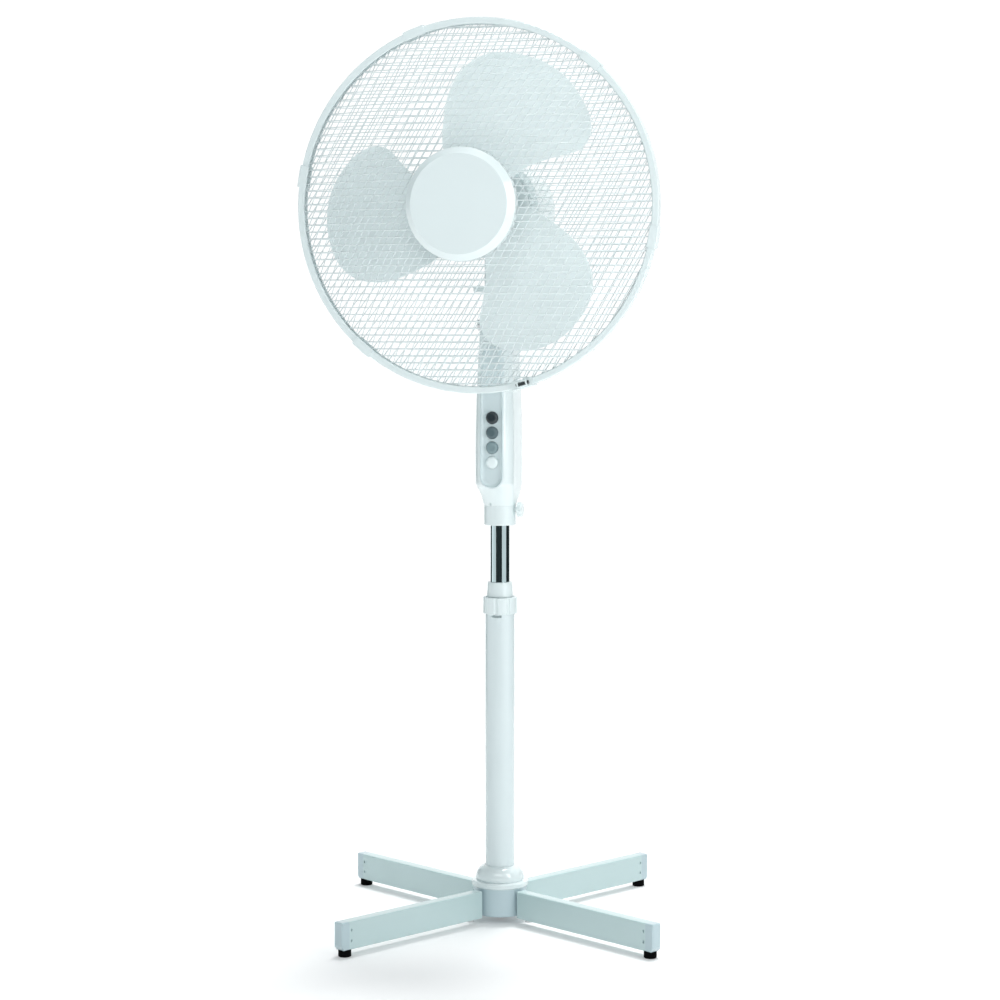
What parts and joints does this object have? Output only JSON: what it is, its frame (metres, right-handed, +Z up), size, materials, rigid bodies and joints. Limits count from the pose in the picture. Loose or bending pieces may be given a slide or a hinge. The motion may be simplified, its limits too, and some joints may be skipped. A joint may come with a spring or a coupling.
{
  "type": "pedestal fan",
  "caption": "Height-adjustable pedestal fan: round wire-mesh guard over a tilting, swinging motor head, push-button column, telescopic pole and a four-legged cross base.",
  "frame": {"origin": "on the floor, at the centre of the four-legged base, on the pole's axis", "axes": "+Z up along the pole, -Y forward: the guard, badge and buttons face -Y and air is blown that way"},
  "size_m": [0.4484, 0.4484, 1.074],
  "materials": {
    "white": "gloss",
    "white_paint": "gloss",
    "chrome": "polished",
    "rubber": "matte",
    "leg_paint": "gloss",
    "base_plastic": "gloss",
    "black_steel": "satin",
    "panel": "satin",
    "button_black": "satin",
    "button_dark": "satin",
    "button_grey": "satin",
    "button_white": "satin",
    "blade": "gloss",
    "dark_plastic": "satin",
    "steel": "satin",
    "wire": "gloss",
    "lamination": "satin",
    "copper": "satin",
    "bronze": "satin",
    "casting": "satin",
    "nylon": "satin"
  },
  "bodies": {
    "stand": {"leg_front_left": "leg_paint", "leg_front_right": "leg_paint", "leg_back_left": "leg_paint", "leg_back_right": "leg_paint", "leg_cap_front_left": "base_plastic", "leg_cap_front_right": "base_plastic", "leg_cap_back_left": "base_plastic", "leg_cap_back_right": "base_plastic", "foot_front_left": "rubber", "foot_front_right": "rubber", "foot_back_left": "rubber", "foot_back_right": "rubber", "base_hub": "base_plastic", "base_flange": "white", "base_cover": "white", "leg_screws": "steel", "tube_bolt": "steel", "outer_tube": "white_paint", "tube_collet": "white"},
    "height_collar": {"height_collar": "white"},
    "pole": {"inner_pole": "chrome", "pole_guide": "nylon"},
    "control_box": {"box_front": "white", "box_rear": "white", "box_screws": "steel", "box_socket": "white", "button_panel": "panel", "switch_block": "dark_plastic", "cord_gland": "dark_plastic", "tilt_bolt": "steel"},
    "clamp_screw": {"clamp_screw": "white"},
    "button_off": {"button_off": "button_black"},
    "button_low": {"button_low": "button_dark"},
    "button_medium": {"button_medium": "button_grey"},
    "button_high": {"button_high": "button_white"},
    "neck": {"tilt_neck": "white"},
    "head": {"head_base": "white", "motor_cover_rear": "white", "motor_cover_front": "white", "motor_stator": "lamination", "motor_windings": "copper", "motor_brackets": "casting", "motor_bushes": "bronze", "gearbox_housing": "casting", "rear_guard": "wire", "guard_nut": "white", "front_guard": "wire", "badge": "white", "guard_rim": "white", "rim_clips": "white", "rim_lock": "white", "lock_screw": "black_steel"},
    "fan": {"fan_blades": "blade", "spinner_nut": "dark_plastic", "motor_shaft": "steel", "rotor_core": "lamination"},
    "worm_wheel": {"worm_wheel": "nylon"},
    "crank_gear": {"crank_gear": "nylon"},
    "osc_link": {"osc_link": "casting"},
    "osc_knob": {"osc_knob": "white"}
  },
  "joints": [
    {"name": "height_slide", "type": "slide", "parent": "stand", "child": "pole", "axis": [0, 0, 1], "range_m": [-0.068, 0.15]},
    {"name": "collar_turn", "type": "hinge", "parent": "stand", "child": "height_collar", "pos_m": [0, 0, 0.387], "axis": [0, 0, 1], "range_deg": [0, 90]},
    {"name": "column_turn", "type": "hinge", "parent": "pole", "child": "control_box", "pos_m": [0, 0, 0.5], "axis": [0, 0, 1], "range_deg": [-175, 175]},
    {"name": "clamp_turn", "type": "hinge", "parent": "control_box", "child": "clamp_screw", "pos_m": [0.0233, 0, 0.5014], "axis": [1, 0, 0], "range_deg": [0, 360]},
    {"name": "tilt", "type": "hinge", "parent": "control_box", "child": "neck", "pos_m": [0, 0, 0.722], "axis": [1, 0, 0], "range_deg": [-20, 12]},
    {"name": "oscillation", "type": "hinge", "parent": "neck", "child": "head", "pos_m": [0, 0, 0.784], "axis": [0, 0, 1], "range_deg": [-45, 45]},
    {"name": "fan_spin", "type": "hinge", "parent": "head", "child": "fan", "pos_m": [0, -0.106, 0.859], "axis": [0, -1, 0], "continuous": true},
    {"name": "worm_wheel_turn", "type": "hinge", "parent": "head", "child": "worm_wheel", "pos_m": [0.017, 0.0299, 0.859], "axis": [0, 0, 1], "continuous": true},
    {"name": "crank_turn", "type": "hinge", "parent": "head", "child": "crank_gear", "pos_m": [0.002, 0.044, 0.83], "axis": [0, 0, 1], "continuous": true},
    {"name": "link_turn", "type": "hinge", "parent": "crank_gear", "child": "osc_link", "pos_m": [-0.005, 0.044, 0.8137], "axis": [0, 0, 1], "continuous": true},
    {"name": "osc_knob_pull", "type": "slide", "parent": "head", "child": "osc_knob", "axis": [0, 0, 1], "range_m": [0, 0.008]},
    {"name": "button_off_press", "type": "slide", "parent": "control_box", "child": "button_off", "axis": [0, 1, 0], "range_m": [0, 0.004], "stiffness_N_per_m": 400, "springref_m": -0.001},
    {"name": "button_low_press", "type": "slide", "parent": "control_box", "child": "button_low", "axis": [0, 1, 0], "range_m": [0, 0.004], "stiffness_N_per_m": 400, "springref_m": -0.001},
    {"name": "button_medium_press", "type": "slide", "parent": "control_box", "child": "button_medium", "axis": [0, 1, 0], "range_m": [0, 0.004], "stiffness_N_per_m": 400, "springref_m": -0.001},
    {"name": "button_high_press", "type": "slide", "parent": "control_box", "child": "button_high", "axis": [0, 1, 0], "range_m": [0, 0.004], "stiffness_N_per_m": 400, "springref_m": -0.001}
  ],
  "couplings": [
    {"joint": "worm_wheel_turn", "follows": "fan_spin", "ratio": 0.041667},
    {"joint": "crank_turn", "follows": "fan_spin", "ratio": -0.012255},
    {"joint": "link_turn", "follows": "fan_spin", "ratio": 0.012255}
  ]
}
